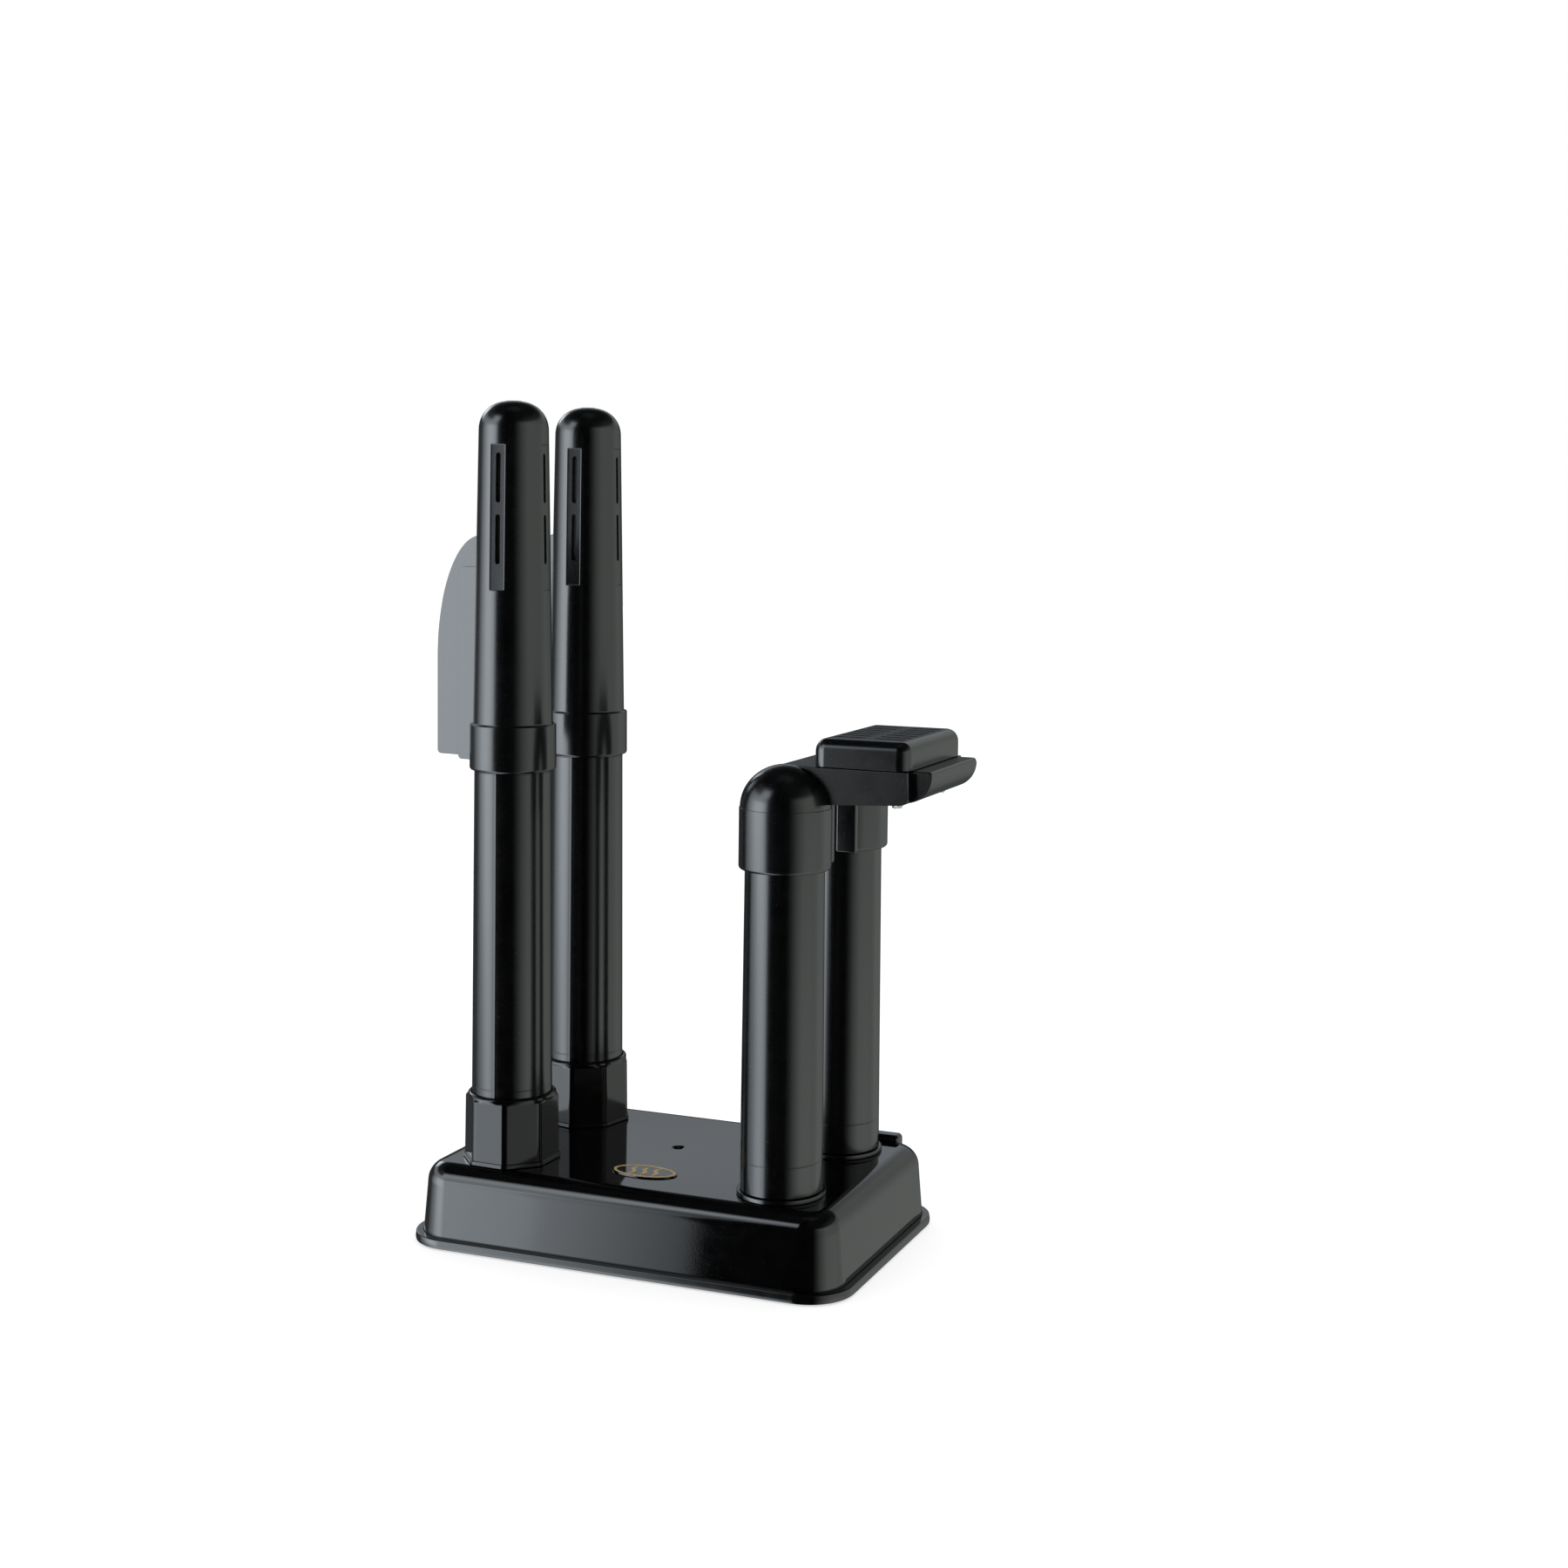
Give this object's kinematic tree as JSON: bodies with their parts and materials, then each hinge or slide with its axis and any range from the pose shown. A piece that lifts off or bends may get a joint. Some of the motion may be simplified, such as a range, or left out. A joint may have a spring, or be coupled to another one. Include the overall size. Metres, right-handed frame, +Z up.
{
  "type": "boot dryer",
  "caption": "Electric boot dryer: gloss black base tray with tapered riser tubes, finned glove ports on the left pair and a domed, vented helmet port across the right pair.",
  "frame": {"origin": "centre of the bounding box at the floor, where the rubber feet stand", "axes": "+Z up along the risers; +X along the base's long side, from the glove ports towards the helmet port; -Y is the front long side"},
  "size_m": [0.3712, 0.211, 0.586],
  "materials": {
    "cover": "gloss black moulding",
    "pan": "gloss black moulding",
    "tube": "satin black extrusion",
    "ring": "satin black moulding",
    "coupling": "satin black moulding",
    "port": "satin black moulding",
    "foot": "matte rubber",
    "screw": "zinc plated",
    "badge": "plain gold print",
    "reflector": "mill finish sheet",
    "element": "ceramic sleeve",
    "nylon": "natural nylon",
    "cutout": "plated cap"
  },
  "bodies": {
    "base": {"base_cover": "cover", "base_pan": "pan", "cord_gland": "port", "badge": "badge", "heat_shield": "reflector", "left_heater_plate": "reflector", "left_heater_element": "element", "right_heater_plate": "reflector", "right_heater_element": "element", "terminal_block": "nylon", "thermal_cutout": "cutout", "front_right_seat_ring": "ring", "back_right_seat_ring": "ring", "front_left_duct_stub": "ring", "back_left_duct_stub": "ring", "front_right_duct_stub": "ring", "back_right_duct_stub": "ring", "front_left_foot": "foot", "back_left_foot": "foot", "front_right_foot": "foot", "back_right_foot": "foot", "front_left_base_screw": "screw", "back_left_base_screw": "screw", "front_right_base_screw": "screw", "back_right_base_screw": "screw"},
    "front_left_coupling": {"front_left_coupling": "coupling"},
    "back_left_coupling": {"back_left_coupling": "coupling"},
    "front_left_tube": {"front_left_tube": "tube"},
    "back_left_tube": {"back_left_tube": "tube"},
    "front_left_glove_port": {"front_left_glove_port": "port"},
    "back_left_glove_port": {"back_left_glove_port": "port"},
    "right_tubes": {"front_right_tube": "tube", "back_right_tube": "tube"},
    "helmet_port": {"helmet_port_shell": "port", "front_helmet_socket": "port", "back_helmet_socket": "port", "helmet_rest": "port", "front_inner_rest_screw": "screw", "back_inner_rest_screw": "screw", "front_outer_rest_screw": "screw", "back_outer_rest_screw": "screw"}
  },
  "joints": [
    {"name": "front_left_coupling_lift", "type": "slide", "parent": "base", "child": "front_left_coupling", "axis": [0, 0, 1], "range_m": [0, 0.03]},
    {"name": "back_left_coupling_lift", "type": "slide", "parent": "base", "child": "back_left_coupling", "axis": [0, 0, 1], "range_m": [0, 0.03]},
    {"name": "front_left_tube_lift", "type": "slide", "parent": "front_left_coupling", "child": "front_left_tube", "axis": [0, 0, 1], "range_m": [0, 0.024]},
    {"name": "back_left_tube_lift", "type": "slide", "parent": "back_left_coupling", "child": "back_left_tube", "axis": [0, 0, 1], "range_m": [0, 0.024]},
    {"name": "front_left_glove_port_lift", "type": "slide", "parent": "front_left_tube", "child": "front_left_glove_port", "axis": [0, 0, 1], "range_m": [0, 0.03]},
    {"name": "back_left_glove_port_lift", "type": "slide", "parent": "back_left_tube", "child": "back_left_glove_port", "axis": [0, 0, 1], "range_m": [0, 0.03]},
    {"name": "right_tubes_lift", "type": "slide", "parent": "base", "child": "right_tubes", "axis": [0, 0, 1], "range_m": [0, 0.03]},
    {"name": "helmet_port_lift", "type": "slide", "parent": "right_tubes", "child": "helmet_port", "axis": [0, 0, 1], "range_m": [0, 0.06]}
  ]
}
